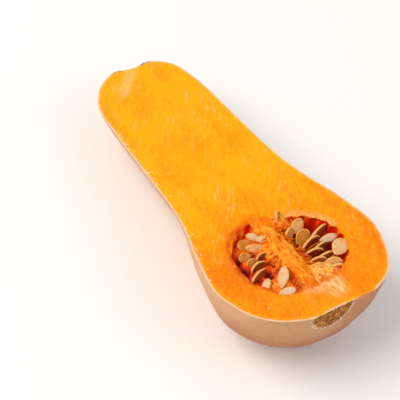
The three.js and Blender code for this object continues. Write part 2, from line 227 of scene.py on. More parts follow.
class SquashFleshSettings(bpy.types.PropertyGroup):
    rib_height: length("Rib height", "How far the faint ribs stand out of the bulb", 0.45)
    knife_wave: length("Knife wave", "Height of the slow waves that the knife left in the cut", 0.25)
    wall_relief: length("Wall relief", "Height of the lumps on the chambers' walls", 0.7)
    septum_relief: length("Septum relief", "Depth of the torn pulp between the chambers", 2.4)
    flesh: colour("Flesh", "Ripe cut flesh", "feb000")
    deep_flesh: colour("Deep flesh", "Flesh near the seed chambers and in the bulb", "fa7c00")
    strand: colour("Strands", "Pale strands in the cut face", "fec674")
    grain: colour("Grain", "Lighter grains all over the cut face", "ffbe2e")
    peach: colour("Peach flesh", "Torn fibres past the chambers", "ffd69c")
    rim_flesh: colour("Rim flesh", "Yellower flesh just inside the rind", "fcb42c")
    rim: colour("Rind edge", "Cut edge of the rind", "f0cda4")
    chamber_wall: colour("Chamber wall", "Moist red wall of the seed pockets", "f02a04")
    # Painted shade: maroon laid deeper down in the chambers.
    chamber_depth_shade: colour("Chamber depth", "Wet maroon at the bottom of the chambers", "7c0c02")
    # Also laid over the left-hand chamber's walls as painted light.
    wall_ridge: colour("Wall ridges", "Thin edges between the seed pockets", "ff8f1c")
    rind: colour("Rind", "Waxy tan rind", "d8a57e")
    rind_warm: colour("Warm rind", "Browner clouds in the rind", "d29c6c")
    bloom: colour("Bloom", "Pale wax in fine streaks and pores", "ecc7a4")
    # Painted shade: a deeper tan laid on the rind lower down and towards the blossom end.
    under: colour("Underside", "Deeper tan of the rind that grew in the shade", "a8560a")
    cork: colour("Cork", "Dry corky scar", "c87c34")
    cork_pale: colour("Pale cork", "Paler spots in the scar", "e2b070")
    cork_dark: colour("Cork cracks", "Cracks in the corky scar", "70300e")
    scar_ring: colour("Scar ring", "Ragged cream ring round the scar", "f2dcbc")


class SquashSeedSettings(bpy.types.PropertyGroup):
    seed_length: length("Seed length", "Length of a full seed", SEED_LENGTH)
    seed_width: length("Seed width", "Width of a full seed", 8.8)
    seed_thickness: length("Seed thickness", "Thickness of a full seed", 2.3)
    rim_width: FloatProperty(
        name="Rim width",
        description="Share of a seed's half width that its raised rim takes",
        subtype="FACTOR",
        min=0.0,
        max=0.5,
        default=0.13,
    )
    olive: colour("Olive seed", "Fresh wet seed coat", "c6760e")
    tan: colour("Tan seed", "Half dry seed coat", "ecb068")
    white: colour("White seed", "Bleached dry seed coat", "e8c6a6")
    rim: colour("Seed rim", "The seeds' bead", "f8c06a")
    groove: colour("Seed groove", "The line inside the bead", "9a5a2a")
    # Partly a real stain, partly painted shade on the faces of the seeds that stand edge-on.
    juice: colour("Juice", "Stain of pulp juice on a seed", "861d04")


class SquashPulpSettings(bpy.types.PropertyGroup):
    septum_strings: amount("Septum strings", "Strings on the ridge of pulp", 90)
    chamber_strings: amount("Chamber strings", "Strings in each chamber", 150)
    blossom_fibres: amount("Blossom fibres", "Peach fibres past the chambers", 120)
    string_radius: length("String radius", "Radius of a string at its root", 0.36)
    crumbs: amount("Crumbs", "Pale crumbs along the cut's edge", 60)
    wet: colour("Wet pulp", "Pulp as most of it is", "f87600")
    # Also painted highlight on the raised lumps of the masses of pulp.
    pale: colour("Pale pulp", "Pulp that is drawn thin or dry", "ffaa24")
    dry: colour("Dry pulp", "Peach fibres where the knife dried the pulp", "ffcb7e")
    # Partly the pulp's own tone, partly painted shade in the hollows of the masses.
    red: colour("Red pulp", "Pulp in the folds", "de3000")
    # Painted shade in the deepest gaps of the masses of pulp.
    maroon: colour("Maroon pulp", "Pulp in the deepest gaps", "6e0d02")
    crumb: colour("Crumb", "Dry crumb of flesh", "ffdcb4")


class SquashStageSettings(bpy.types.PropertyGroup):
    floor_size: length("Floor size", "Side of the square floor", 6000)
    key_power: power("Key light", "Power of the large soft key light", 72.0)
    fill_power: power("Fill light", "Power of the weak fill light", 14.0)
    sky: FloatProperty(name="Sky", description="Strength of the white surroundings", min=0.0, default=0.52)
    floor: colour("Floor", "Plain pale floor", "fbfafa")


def smooth(start, end, value):
    t = np.clip((np.asarray(value, dtype=float) - start) / (end - start), 0.0, 1.0)
    return t * t * (3.0 - 2.0 * t)


def eased(drift, x):
    start, end, shift = drift
    return shift * smooth(start, end, x)


def resting_matrix():
    """Fruit frame in metres to the row frame, from the record's mount on the cut face."""
    mount = next(m for m in frame["record"]["mounts"] if m["name"] == "cut_face")
    up = Vector(mount["axis"]).normalized()
    along = Vector((up.z, 0.0, -up.x))
    turn = Matrix((along, (0.0, 1.0, 0.0), up)).transposed()
    at = Vector(mount["pos_m"]) - turn @ (Vector(CUT_MOUNT_AT) * MM)
    return Matrix.Translation(at) @ turn.to_4x4()


REST = resting_matrix()


def deselect():
    bpy.ops.object.select_all(action="DESELECT")


def select_only(*pieces):
    deselect()
    for piece in pieces:
        piece.select_set(True)
    bpy.context.view_layer.objects.active = pieces[-1]


def named(name):
    """Names the object that an operator has just added, and its mesh."""
    piece = bpy.context.active_object
    piece.name = name
    piece.data.name = name
    return piece


def points_of(piece):
    flat = np.empty(3 * len(piece.data.vertices))
    piece.data.vertices.foreach_get("co", flat)
    return flat.reshape(-1, 3)


def set_points(piece, points):
    piece.data.vertices.foreach_set("co", np.asarray(points, dtype=float).ravel())
    piece.data.update()


def set_attribute(piece, name, values):
    """A number per vertex for the materials to read."""
    made = piece.data.attributes.new(name, "FLOAT", "POINT")
    made.data.foreach_set("value", np.asarray(values, dtype=np.float32))


def normals_of(piece):
    flat = np.empty(3 * len(piece.data.vertices))
    piece.data.vertex_normals.foreach_get("vector", flat)
    return flat.reshape(-1, 3)


def clouds(points, size, seed=0.0):
    """Smooth noise from -1 to 1 at each point, with lumps of about the given size (a number or x, y, z)."""
    scaled = points / np.asarray(size, dtype=float) + seed
    return np.array([noise.noise(Vector(p)) for p in scaled])


def lay_down(piece):
    """Takes a piece that was made in the fruit frame, in metres, to where the fruit lies."""
    piece.data.transform(REST)
    piece.data.update()


def finish_piece(piece, slot, materials, *nodes, angle=60):
    piece.data.materials.clear()
    for material in materials:
        piece.data.materials.append(material)
    select_only(piece)
    bpy.ops.object.shade_smooth_by_angle(angle=math.radians(angle))
    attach(piece, "root")
    if nodes:
        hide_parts(*nodes)


def add_node(tree, kind, links, output=0, **settings):
    """Adds a shader node with its settings, fills or links its inputs, and returns one of its outputs."""
    node = tree.nodes.new("ShaderNode" + kind)
    for name, value in settings.items():
        setattr(node, name, value)
    for name, value in links.items():
        if isinstance(value, bpy.types.NodeSocket):
            tree.links.new(value, node.inputs[name])
        else:
            node.inputs[name].default_value = value
    return node.outputs[output] if node.outputs else None


def new_material(name):
    material = bpy.data.materials.new(name)
    material.use_nodes = True
    material.node_tree.nodes.clear()
    return material, material.node_tree


def finish_surface(tree, height, relief, finish):
    """The shader that ends a material, with relief of the given height in millimetres."""
    bump = add_node(tree, "Bump", {"Height": height, "Distance": relief * MM})
    surface = add_node(tree, "BsdfPrincipled", {"Normal": bump, **finish})
    add_node(tree, "OutputMaterial", {"Surface": surface})


def fruit_place(tree, heading=0.0):
    """Object coordinates turned level with the cut face, with X along the given heading in degrees."""
    place = add_node(tree, "TexCoord", {}, "Object")
    tilt = math.asin(-REST[0][2])
    return add_node(tree, "Mapping", {"Vector": place, "Rotation": (0.0, tilt, -math.radians(heading))})


def lumps_at(tree, place, pitch, low, high, least=0.0, most=1.0, stretch=(1.0, 1.0, 1.0), detail=3.0):
    """Noise with lumps of the pitch in millimetres, longer where stretch is above 1: least to most."""
    size = [1.0 / (pitch * MM * s) for s in stretch]
    scaled = add_node(tree, "Mapping", {"Vector": place, "Scale": size})
    noisy = {"Vector": scaled, "Scale": 1.0, "Detail": detail, "Roughness": 0.58}
    lumps = add_node(tree, "TexNoise", noisy)
    limits = {"Value": lumps, "From Min": low, "From Max": high, "To Min": least, "To Max": most}
    return add_node(tree, "MapRange", limits, interpolation_type="SMOOTHSTEP")


def mark_at(tree, name, low=0.0, high=1.0, least=0.0, most=1.0, uneven=0.0):
    """A number that the mesh holds at each point, made uneven and taken from one range to another."""
    mark = add_node(tree, "Attribute", {}, "Fac", attribute_name=name)
    rough = add_node(tree, "Math", {0: mark, 1: uneven}, operation="ADD")
    limits = {"Value": rough, "From Min": low, "From Max": high, "To Min": least, "To Max": most}
    return add_node(tree, "MapRange", limits)


def washed(tree, base, tint, *shares):
    """A second colour over the first, as strong as the product of the shares."""
    share = shares[0]
    for other in shares[1:]:
        share = add_node(tree, "Math", {0: share, 1: other}, operation="MULTIPLY")
    return add_node(tree, "Mix", {0: share, 6: base, 7: tint}, 2, data_type="RGBA")


def glow(weight, spread, reach):
    """Light that goes through a surface: how much, how far for each colour, and its reach in millimetres."""
    return {"Subsurface Weight": weight, "Subsurface Radius": spread, "Subsurface Scale": reach * MM}


def cork_plates(tree, place, colours):
    """Cracked cork: tan plates with paler spots, and dark cracks between them. Returns colour and height."""
    size = (0.6 / CORK_PLATE, 0.4 / CORK_PLATE, 1.0 / CORK_PLATE)
    scaled = add_node(tree, "Mapping", {"Vector": place, "Scale": size})
    twist = add_node(tree, "TexNoise", {"Vector": scaled, "Scale": 1.3, "Detail": 3.0}, "Color")
    bent = add_node(tree, "VectorMath", {0: scaled, 1: twist}, operation="ADD")
    gap = add_node(tree, "TexVoronoi", {"Vector": bent}, "Distance", feature="DISTANCE_TO_EDGE")
    crack = add_node(tree, "MapRange", {"Value": gap, "From Min": 0.01, "From Max": 0.14})
    whole = lumps_at(tree, place, 4.0, 0.4, 0.56, 1.0, 0.0, detail=2.0)
    height = add_node(tree, "Math", {0: crack, 1: whole}, operation="MAXIMUM")
    base = washed(tree, colours.cork_dark, colours.cork, height)
    return washed(tree, base, colours.cork_pale, lumps_at(tree, place, 1.4, 0.5, 0.68)), height


def rind_material(colours):
    """Waxy rind: even tan skin with a low sheen, faint clouds along the fruit and hardly visible pores.
    Where stem and blossom sat it is dry, cracked cork in a ragged cream ring."""
    material, tree = new_material("waxy_rind")
    place = fruit_place(tree)
    cloudy = lumps_at(tree, place, 34, 0.35, 0.7, stretch=(2.2, 1, 1))
    base = washed(tree, colours.rind, colours.rind_warm, cloudy)
    # Painted shade: a deeper tan lower down and towards the blossom end.
    base = washed(tree, base, colours.under, mark_at(tree, "under"))
    streaked = lumps_at(tree, place, 3.5, 0.5, 0.75, 0.0, 0.16, stretch=(9, 1, 1))
    base = washed(tree, base, colours.bloom, streaked)
    base = washed(tree, base, colours.bloom, lumps_at(tree, place, 1.6, 0.6, 0.8, 0.0, 0.06, detail=1.0))
    corky, plates = cork_plates(tree, place, colours)
    torn = lumps_at(tree, place, 1.7, 0.3, 0.7, -0.3, 0.3)
    speckled = lumps_at(tree, place, 1.5, 0.42, 0.55, 0.25, 0.95)
    ring = mark_at(tree, "cork", 0.18, 0.3, uneven=torn)
    base = washed(tree, base, colours.scar_ring, ring, speckled, mark_at(tree, "cork", 0.01, 0.1))
    dry = mark_at(tree, "cork", 0.46, 0.56, uneven=torn)
    base = washed(tree, base, corky, dry)
    skin = lumps_at(tree, place, 2.2, 0.0, 1.0, 0.0, 0.25, detail=4.0)
    cracked = add_node(tree, "Math", {0: plates, 1: dry, 2: skin}, operation="MULTIPLY_ADD")
    finish = {
        "Base Color": base,
        "Roughness": mark_at(tree, "cork", 0.46, 0.56, 0.46, 0.85, uneven=torn),
        "Specular IOR Level": 0.12,
        **glow(0.12, (1.0, 0.45, 0.2), 1.5),
    }
    finish_surface(tree, cracked, 0.5, finish)
    return material


def flesh_material(colours):
    """Ripe cut flesh: moist, lit a little from inside, streaked by pale strands that the knife laid bare.
    It gets redder and wetter in the chambers and pale at the rind."""
    material, tree = new_material("moist_cut_flesh")
    place, along_knife = fruit_place(tree), fruit_place(tree, KNIFE_HEADING)
    patch = lumps_at(tree, place, 24, 0.3, 0.75, -0.25, 0.3, stretch=(2, 1, 1))
    fleck = lumps_at(tree, along_knife, 2.6, 0.35, 0.7, -0.16, 0.16, stretch=(2.2, 1, 1))
    uneven = add_node(tree, "Math", {0: patch, 1: fleck}, operation="ADD")
    base = washed(tree, colours.flesh, colours.deep_flesh, mark_at(tree, "deep", uneven=uneven))
    thread = lumps_at(tree, along_knife, 2.8, 0.52, 0.72, stretch=(5, 1, 3), detail=5.0)
    where = lumps_at(tree, along_knife, 20, 0.42, 0.66, stretch=(1.6, 1, 1), detail=2.0)
    base = washed(tree, base, colours.strand, thread, where, mark_at(tree, "strands"))
    smear = lumps_at(tree, along_knife, 2.4, 0.3, 0.6, 0.25, 1.0, stretch=(3, 1, 1))
    base = washed(tree, base, colours.strand, smear, mark_at(tree, "stem_band"))
    thread = lumps_at(tree, place, 1.7, 0.56, 0.74, stretch=(13, 1, 3))
    base = washed(tree, base, colours.strand, thread, mark_at(tree, "near_rim"))
    base = washed(tree, base, colours.grain, lumps_at(tree, place, 1.4, 0.5, 0.72, 0.0, 0.4, detail=2.0))
    torn = lumps_at(tree, place, 2.0, 0.36, 0.62, 0.1, 1.0, stretch=(2.4, 1, 1), detail=4.0)
    base = washed(tree, base, colours.peach, torn, mark_at(tree, "peach"))
    # Painted shade: the chamber walls darken to maroon with depth.
    wall = washed(tree, colours.chamber_wall, colours.chamber_depth_shade, mark_at(tree, "depth"))
    wall = washed(tree, wall, colours.wall_ridge, mark_at(tree, "ridge"))
    base = washed(tree, base, wall, mark_at(tree, "wet"))
    base = washed(tree, base, colours.rim_flesh, mark_at(tree, "rim", 1.0, 4.0, 0.45, 0.0))
    ragged = lumps_at(tree, place, 5, 0.3, 0.7, -0.3, 0.3)
    base = washed(tree, base, colours.rim, mark_at(tree, "rim", 0.75, 1.35, 1.0, 0.0, uneven=ragged))
    finish = {
        "Base Color": base,
        "Roughness": mark_at(tree, "wet", least=0.5, most=0.3),
        "Specular IOR Level": 0.1,
        **glow(0.2, (1.0, 0.4, 0.08), 2.0),
    }
    finish_surface(tree, lumps_at(tree, place, 1.0, 0.0, 1.0, stretch=(1.8, 1, 1), detail=4.0), 0.3, finish)
    return material


def seed_material(colours):
    """Wet seed coat: thin, smooth and satin, olive tan to bleached, with a groove and a yellow bead
    round the edge, and a dark red on some of the faces that is partly pulp juice and partly painted shade."""
    material, tree = new_material("seed_coat")
    place = fruit_place(tree)
    cloudy = lumps_at(tree, place, 3.0, 0.3, 0.7, -0.2, 0.2)
    base = washed(tree, colours.olive, colours.tan, mark_at(tree, "bleach", 0.1, 0.6, uneven=cloudy))
    base = washed(tree, base, colours.white, mark_at(tree, "bleach", 0.6, 1.0, uneven=cloudy))
    base = washed(tree, base, colours.groove, mark_at(tree, "groove", most=0.28))
    base = washed(tree, base, colours.rim, mark_at(tree, "edge", 0.88, 0.94, 0.0, 0.85))
    inside_bead = mark_at(tree, "edge", 0.9, 0.96, 1.0, 0.1)
    # Dark red over the faces: partly pulp juice, partly painted shade.
    base = washed(tree, base, colours.juice, mark_at(tree, "smear"), inside_bead)
    finish = {
        "Base Color": base,
        "Roughness": 0.36,
        "Specular IOR Level": 0.25,
        **glow(0.15, (1.0, 0.6, 0.3), 1.0),
    }
    finish_surface(tree, lumps_at(tree, place, 0.9, 0.0, 1.0), 0.06, finish)
    return material


def pulp_material(colours):
    """Wet stringy pulp: glossy orange, paler where it is drawn thin, red and then maroon in its folds.
    On the masses the paler tops are painted highlight, and the red and maroon in the hollows are painted
    shade.
    """
    material, tree = new_material("wet_pulp")
    place = fruit_place(tree)
    mottle = lumps_at(tree, place, 1.2, 0.3, 0.7, -0.4, 0.4, stretch=(3.5, 1, 1))
    base = washed(tree, colours.wet, colours.pale, mark_at(tree, "tip", uneven=mottle))
    frayed = lumps_at(tree, place, 1.6, 0.4, 0.6, stretch=(1.8, 1, 1))
    base = washed(tree, base, colours.dry, mark_at(tree, "dry"), frayed)
    base = washed(tree, base, colours.red, mark_at(tree, "red"))
    base = washed(tree, base, colours.maroon, mark_at(tree, "red", 0.9, 1.8))
    finish = {
        "Base Color": base,
        "Roughness": 0.38,
        "Specular IOR Level": 0.15,
        **glow(0.15, (1.0, 0.4, 0.1), 1.0),
    }
    finish_surface(tree, lumps_at(tree, place, 0.8, 0.0, 1.0, stretch=(2.5, 1, 1), detail=2.0), 0.5, finish)
    return material


def crumb_material(colours):
    """Crumbs that the knife tore off: dry, matt, almost white."""
    material, tree = new_material("dry_crumb")
    place = fruit_place(tree)
    base = washed(tree, colours.pale, colours.crumb, lumps_at(tree, place, 1.2, 0.25, 0.6, 0.3, 1.0))
    finish = {"Base Color": base, "Roughness": 0.6, "Subsurface Weight": 0.2, "Subsurface Scale": 1.0 * MM}
    finish_surface(tree, lumps_at(tree, place, 0.5, 0.0, 1.0), 0.05, finish)
    return material


def walked_along(path):
    """The way from a path's start to each of its points."""
    return np.concatenate([[0.0], np.cumsum(np.linalg.norm(np.diff(path, axis=0), axis=1))])


def profile(rings):
    """The outline's curve as rows of along, radius and distance along the curve, evenly spaced."""
    given = np.array(OUTLINE, dtype=float)
    held = np.vstack([given[0], given, given[-1]])
    steps = np.linspace(0.0, 1.0, 24, endpoint=False)[:, None]
    spans = []
    for a, b, c, d in zip(held, held[1:], held[2:], held[3:]):
        start, end = (c - a) / 2, (d - b) / 2
        bend = 3 * (c - b) - 2 * start - end
        twist = 2 * (b - c) + start + end
        spans.append(b + steps * start + steps**2 * bend + steps**3 * twist)
    curve = np.vstack(spans + [given[-1:]])
    curve[0, 1] = curve[-1, 1] = 0.0
    walked = walked_along(curve)
    even = np.linspace(0.0, walked[-1], rings)
    return np.column_stack([*(np.interp(even, walked, curve[:, k]) for k in (0, 1)), even])


def grown_fruit(points, around, rib_height):
    """The fruit's ribs, drift and slant, applied to a turned body's points in millimetres."""
    x, y, z = points.T
    radius = np.hypot(y, z)
    rib = rib_height * np.cos(RIB_COUNT * around) * smooth(RIBS_FROM, RIBS_TO, x)
    grown = 1 + rib / np.maximum(radius, RIB_FADE_RADIUS)
    slanting = 2 * np.abs(y) * np.maximum(0, -z) / np.maximum(radius**2, 1)
    narrowed = 1 - eased(NECK_LEAN, x) * slanting
    slanted = x + eased(BLOSSOM_SLANT, x) * (y / BULB_RADIUS)
    drifted = y * grown * narrowed + eased(NECK_DRIFT, x) + eased(TIP_DRIFT, x)
    return np.column_stack([slanted, drifted, z * grown * BACK_DEPTH])


def half_body(rib_height):
    """A ball whose rings become the fruit's cross sections: half round below, straight across the cut."""
    deselect()
    bpy.ops.mesh.primitive_uv_sphere_add(segments=SEGMENTS, ring_count=RINGS, radius=1.0)
    body = named("squash_half")
    ball = points_of(body)
    ring = np.rint(np.arccos(np.clip(-ball[:, 2], -1, 1)) / math.pi * RINGS).astype(int)
    angle = np.arctan2(ball[:, 1], ball[:, 0])
    along, radius, walked = profile(RINGS + 1)[ring].T
    first, last = OUTLINE[0][0], OUTLINE[-1][0]
    kept_back = np.minimum(along, last - BLOSSOM_ROW_STEP * (walked.max() - walked))
    middle = np.where(along > ROWS_BEND_FROM, kept_back, along)
    middle = np.where(along < -ROWS_BEND_FROM, np.maximum(along, first + STEM_ROW_STEP * walked), middle)
    cut = (angle > -1e-6) & (radius > 0)
    share = EVEN_SHARE * (1 - 2 * angle / math.pi) + (1 - EVEN_SHARE) * np.cos(angle)
    share = np.where(cut, share, np.cos(angle))
    x = np.where(cut, along + (middle - along) * (1 - share**2), along)
    z = np.where(cut, 0.0, radius * np.sin(angle))
    around = np.where(cut, 0.0, angle)
    set_points(body, grown_fruit(np.column_stack([x, radius * share, z]), around, rib_height) * MM)
    return body


def pulp_edge(side, x, depth):
    """Where a side of the ridge of pulp stands, at a place along it and a depth, in millimetres."""
    edge = PULP_RIGHT if side > 0 else PULP_LEFT
    wave = PULP_WAVE * np.sin(2 * math.pi * x / PULP_WAVE_PITCH + side)
    return edge + side * (PULP_FLARE * depth + wave)


def pulp_ridge():
    deselect()
    bpy.ops.mesh.primitive_cube_add(size=1.0)
    ridge = named("pulp_ridge")
    bpy.ops.object.mode_set(mode="EDIT")
    bpy.ops.mesh.select_all(action="SELECT")
    bpy.ops.mesh.subdivide(number_cuts=31)
    bpy.ops.object.mode_set(mode="OBJECT")
    x, y, z = points_of(ridge).T
    along = PULP_FROM + (x + 0.5) * (PULP_TO - PULP_FROM)
    down = PULP_ABOVE_CUT - (0.5 - z) * PULP_DEPTH
    depth = np.maximum(0.0, -down)
    share = y + 0.5
    across = (1 - share) * pulp_edge(-1, along, depth) + share * pulp_edge(1, along, depth)
    set_points(ridge, np.column_stack([along, across, down]) * MM)
    return ridge


def pocket_share(spec, x, y):
    """How far into a seed pocket a place on a chamber's wall is: 0 between two pockets, 1 in the middle."""
    around = np.arctan2(spec["side"] * (y - spec["y"]), x - spec["x"])
    return np.abs(np.sin(POCKET_COUNT * around / 2))


def chamber(name, spec):
    deselect()
    bpy.ops.mesh.primitive_uv_sphere_add(segments=12 * POCKET_COUNT, ring_count=60, radius=1.0)
    made = named(name)
    x, y, z = points_of(made).T
    around = np.arctan2(spec["side"] * y, x)
    outer = smooth(-0.25, 0.35, spec["side"] * y)
    flute = np.abs(np.sin(POCKET_COUNT * around / 2)) - POCKET_MEAN
    below = smooth(0.0, 4.0, np.abs(z) * CHAMBER_DEPTH)
    swell = spec["pockets"] * flute * outer * np.sqrt(np.maximum(0, 1 - z * z)) * (0.4 + 0.6 * below)
    ball = np.column_stack([x * spec["length"], y * spec["width"], z * CHAMBER_DEPTH])
    uneven = 1.0 if spec["side"] > 0 else 2.0
    swell -= MOUTH_LIP * (1 - below) * (0.4 + uneven * clouds(ball, 7.0, 3.0))
    along = spec["x"] + x * (spec["length"] + swell)
    across = spec["y"] + y * (spec["width"] + swell)
    set_points(made, np.column_stack([along, across, z * CHAMBER_DEPTH]) * MM)
    return made


def saddle():
    deselect()
    bpy.ops.mesh.primitive_uv_sphere_add(segments=40, ring_count=24, radius=1.0)
    made = named("saddle")
    size, at = np.array(SADDLE_SIZE), np.array((*SADDLE_AT, 0.0))
    set_points(made, (points_of(made) * size + at) * MM)
    return made


def cut_away(piece, tool, keep_tool=False):
    """A Boolean difference, applied."""
    select_only(piece)
    step = piece.modifiers.new("cut", "BOOLEAN")
    step.operation = "DIFFERENCE"
    step.solver = "MANIFOLD"
    step.object = tool
    bpy.ops.object.modifier_apply(modifier=step.name)
    if not keep_tool:
        bpy.data.objects.remove(tool, do_unlink=True)


def chamber_distance(spec, x, y):
    """Roughly how far a place on the cut face is outside a chamber's mouth, in millimetres."""
    share = np.hypot((x - spec["x"]) / spec["length"], (y - spec["y"]) / spec["width"])
    return (share - 1) * (spec["length"] + spec["width"]) / 2


def section_at(x, y, z):
    """The fruit's radius at places along it, and how far out from its middle line they lie."""
    outline = profile(OUTLINE_STEPS)
    radius = np.interp(x, outline[:, 0], outline[:, 1])
    drift = eased(NECK_DRIFT, x) + eased(TIP_DRIFT, x)
    return radius, np.hypot(y - drift, z / BACK_DEPTH)


def hollow_at(x, radius, reach):
    """Where there can be a chamber: along the bulb, and well inside the rind."""
    return (reach < radius - CHAMBER_SKIN) & (x > CHAMBERS_FROM) & (x < CHAMBERS_TO)


def oval(x, y, middle, size, fade):
    """An oval spot on the cut face: 1 in its middle, easing to 0 between two shares of its half sizes."""
    return smooth(*fade, np.hypot((x - middle[0]) / size[0], (y - middle[1]) / size[1]))


def rim_distance(x, y, line):
    """How far places on the cut are from its edge, worked out for some of them at a time."""
    nearest = []
    for part in np.array_split(np.arange(len(x)), 60):
        gaps = np.hypot(x[part, None] - line[None, :, 0], y[part, None] - line[None, :, 1])
        nearest.append(gaps.min(axis=1))
    return np.concatenate(nearest)


def flesh_zones(at, settings):
    """Where the body's points lie: on the cut or in a chamber, how near the mouths, and on the ridge."""
    x, y, z = at.T
    radius, reach = section_at(x, y, z)
    on_cut = z > CUT_FROM
    in_chamber = (z <= CUT_FROM) & hollow_at(x, radius, reach)
    right_mouth = chamber_distance(RIGHT_CHAMBER, x, y) + OTHER_SIDE * (y < SIDES_MEET)
    left_mouth = chamber_distance(LEFT_CHAMBER, x, y) + OTHER_SIDE * (y > SIDES_MEET)
    mouth = np.minimum(right_mouth, left_mouth) + 1.2 * clouds(at, 8.0, 5.0)

    between = (x > SEPTUM_FROM) & (x < SEPTUM_TO)
    in_ridge = np.minimum(pulp_edge(1, x, 0.0) - y, y - pulp_edge(-1, x, 0.0))
    faded = smooth(-1.0, 1.5, in_ridge) * smooth(SEPTUM_FROM, 46, x) * smooth(SEPTUM_TO, 96, x)
    septum = np.where(between & (z > -SEPTUM_SKIN), faded, 0.0)

    rim = np.full(len(x), FAR_FROM_RIM)
    rim[on_cut] = rim_distance(x[on_cut], y[on_cut], rim_line(settings))
    spots = [strength * oval(x, y, *spot) * on_cut for strength, *spot in TORN_SPOTS]
    return SimpleNamespace(
        on_cut=on_cut,
        in_chamber=in_chamber,
        inside_rind=reach < radius - 6,
        mouth=mouth,
        between=between,
        in_ridge=in_ridge,
        septum=septum,
        rim=rim,
        torn=np.maximum(*spots),
        fringe=smooth(4, 0.3, mouth) * on_cut * (1 - septum),
        lumps=clouds(at, 5.0) + 0.5 * clouds(at, 2.4, 7.0),
    )


def flesh_relief(body, at, zones, settings):
    """Moves the flesh into relief: lumpy walls, the knife's waves, torn pulp, and lips at the mouths."""
    x, y, z = at.T
    left_side = y < SIDES_MEET
    rough = settings.wall_relief / MM * zones.lumps * np.where(left_side, 1.8, 1.0) * zones.in_chamber
    waves = clouds(at, (38, 16, 20), 3.0) * settings.knife_wave / MM
    waves *= smooth(0, 6, zones.rim) * zones.on_cut
    grooves = clouds(at, (7.0, 2.8, 4.0), 11.0) + 0.6 * clouds(at, (3.2, 1.7, 2.0), 5.0)
    torn = settings.septum_relief / MM * (0.4 - 0.5 * grooves) * zones.septum
    torn += 2.0 * smooth(3.5, 0.0, zones.in_ridge) ** 2 * zones.septum
    torn_face = (0.5 - 0.5 * grooves) * (0.9 * zones.torn + 0.7 * zones.fringe)
    lip = np.where(left_side, 1.3, 0.9) * smooth(4.5, 0, zones.mouth) ** 2 * np.clip(1 + z / 6, 0, 1)
    lip *= (1 - zones.septum) * zones.inside_rind
    moved = at + rough[:, None] * normals_of(body)
    moved[:, 2] += waves - torn - torn_face - lip

    under_ridge = (zones.in_ridge > -0.6) & (z > -8) & zones.between
    buried = np.minimum(moved[:, 2], ridge_top(x, y) - 1.0)
    share = smooth(47, 54, x) * smooth(103, 98, x) * under_ridge
    moved[:, 2] += share * (buried - moved[:, 2])
    set_points(body, moved * MM)


def mark_body(body, at, zones):
    """Writes the numbers that the materials of the rind and the flesh read at each point."""
    x, y, z = at.T
    right_side, left_side = y > SIDES_MEET, y < SIDES_MEET
    pocket = np.where(right_side, pocket_share(RIGHT_CHAMBER, x, y), pocket_share(LEFT_CHAMBER, x, y))
    outer_wall = np.where(right_side, smooth(4, 14, y), smooth(-14, -20, y))
    flank = zones.in_chamber * (1 - outer_wall)
    # Painted shade: darker deeper in the chambers, less so in the left-hand one.
    depth = smooth(4, 19, -z) * np.where(right_side, 1.0, 0.4)
    scoop = pocket * smooth(0.2, 2.5, -z) * smooth(13, 7, -z)
    ridge = (1 - smooth(0.08, 0.26, scoop)) * np.where(right_side, outer_wall, 0.3)
    ridge = ridge * smooth(9, 3, -z) * zones.in_chamber
    # Painted light: the paler ridge colour laid over the left-hand chamber's walls.
    left_wall_painted_light = left_side * (0.25 + 1.2 * zones.lumps)
    wet = np.where(zones.in_chamber, smooth(0.1, 1.6, -z), 0.0) * (1 - 0.8 * zones.septum)
    left_lip = 0.75 * smooth(-8, -11, y) * smooth(3.2, 0, zones.mouth) * (1 - zones.septum)

    bulb = smooth(0, 75, x)
    deep = 0.12 + bulb * 0.7 + 0.16 * smooth(7, 1, zones.mouth) + 0.1 * zones.septum
    (start_x, start_y), (run, rise) = STEM_BAND_AT, STEM_BAND_WAY
    passed = np.clip(((x - start_x) * run + (y - start_y) * rise) / (run**2 + rise**2), 0, 1)
    off_band = np.hypot(x - start_x - run * passed, y - start_y - rise * passed)

    stem_reach = np.hypot(y - 1.5, z / BACK_DEPTH) / STEM_SCAR_RADIUS
    blossom_reach = np.hypot((y - BLOSSOM_SCAR_Y) / 14.5, (z + 1) / 12.5)
    stem_cork = smooth(1.15, 0.8, stem_reach) * (x < STEM_CORK_TO)
    blossom_cork = smooth(1.15, 0.8, blossom_reach) * (x > BLOSSOM_CORK_FROM)
    # Painted shade on the rind: deeper tan lower down towards the blossom end, and on its +Y side there.
    height = (np.column_stack([at * MM, np.ones(len(at))]) @ np.array(REST).T)[:, 2] / MM
    shade = smooth(60, 22, height) * (0.03 + 0.82 * smooth(60, 98, x))
    shade += 0.6 * smooth(-14, 28, y) * smooth(88, 116, x)
    marks = {
        "depth": np.clip(depth + 0.2 * zones.lumps * zones.in_chamber - 0.3 * flank, 0, 1),
        "ridge": np.clip(0.85 * ridge + (0.35 * flank + left_wall_painted_light) * smooth(14, 3, -z), 0, 1),
        "wet": np.maximum(wet, left_lip * (zones.on_cut | zones.in_chamber)),
        "rim": zones.rim,
        "deep": np.clip(deep, 0, 1.2),
        "strands": np.clip(0.85 - 0.6 * bulb, 0, 1),
        "near_rim": smooth(22, 6, zones.rim) * (y < 0) * smooth(70, 20, x) * 0.35,
        "stem_band": 0.7 * smooth(6.0, 1.5, off_band) * zones.on_cut,
        "peach": np.clip(0.85 * zones.torn + 0.5 * zones.fringe * (y > 0) * (x < 70), 0, 1),
        "cork": np.where(x > 0, blossom_cork, stem_cork),
        "under": np.clip(shade, 0, 0.85),
    }
    for name, values in marks.items():
        set_attribute(body, name, values)


